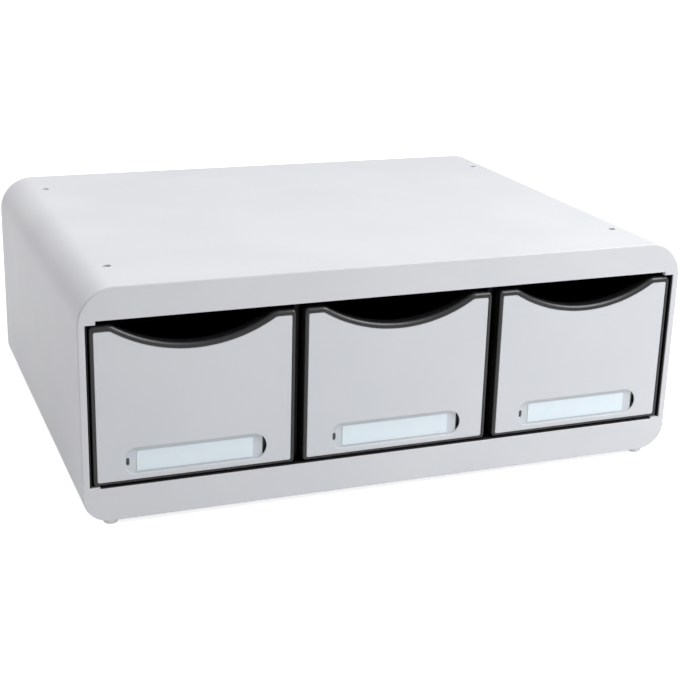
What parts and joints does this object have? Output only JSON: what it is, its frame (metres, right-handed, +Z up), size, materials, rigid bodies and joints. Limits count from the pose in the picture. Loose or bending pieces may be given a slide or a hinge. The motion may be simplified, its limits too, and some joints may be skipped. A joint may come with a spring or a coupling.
{
  "type": "desk drawer box",
  "caption": "Low rounded desk box with a row of side-by-side sliding drawers, scooped finger grips and label windows.",
  "frame": {"origin": "centre of the footprint, on the surface the feet stand on", "axes": "+X to the right seen from the front, +Y from the drawer fronts to the back, +Z up; the drawers open towards -Y"},
  "size_m": [0.355, 0.27, 0.132],
  "materials": {
    "casing_grey": "light grey moulded polystyrene, fine satin texture",
    "lining_black": "black moulded polystyrene, satin",
    "drawer_black": "black moulded polystyrene, satin",
    "fascia_grey": "light grey moulded polystyrene, fine satin texture",
    "label_paper": "pale blue label card",
    "window_clear": "clear polystyrene cover",
    "foot_rubber": "light grey elastomer",
    "screw_steel": "zinc-plated self-tapping screws"
  },
  "bodies": {
    "casing": {"outer_casing": "casing_grey", "rear_panel": "casing_grey", "rear_panel_screws": "screw_steel", "runner_deck": "lining_black", "top_liner": "lining_black", "side_liner_left": "lining_black", "side_liner_right": "lining_black", "divider_left": "lining_black", "divider_right": "lining_black", "foot_front_left": "foot_rubber", "foot_front_right": "foot_rubber", "foot_rear_left": "foot_rubber", "foot_rear_right": "foot_rubber"},
    "drawer_left": {"drawer_tray_left": "drawer_black", "drawer_fascia_left": "fascia_grey", "label_card_left": "label_paper", "label_window_left": "window_clear"},
    "drawer_centre": {"drawer_tray_centre": "drawer_black", "drawer_fascia_centre": "fascia_grey", "label_card_centre": "label_paper", "label_window_centre": "window_clear"},
    "drawer_right": {"drawer_tray_right": "drawer_black", "drawer_fascia_right": "fascia_grey", "label_card_right": "label_paper", "label_window_right": "window_clear"}
  },
  "joints": [
    {"name": "drawer_left_slide", "type": "slide", "parent": "casing", "child": "drawer_left", "axis": [0, -1, 0], "range_m": [0, 0.175]},
    {"name": "drawer_centre_slide", "type": "slide", "parent": "casing", "child": "drawer_centre", "axis": [0, -1, 0], "range_m": [0, 0.175]},
    {"name": "drawer_right_slide", "type": "slide", "parent": "casing", "child": "drawer_right", "axis": [0, -1, 0], "range_m": [0, 0.175]}
  ]
}
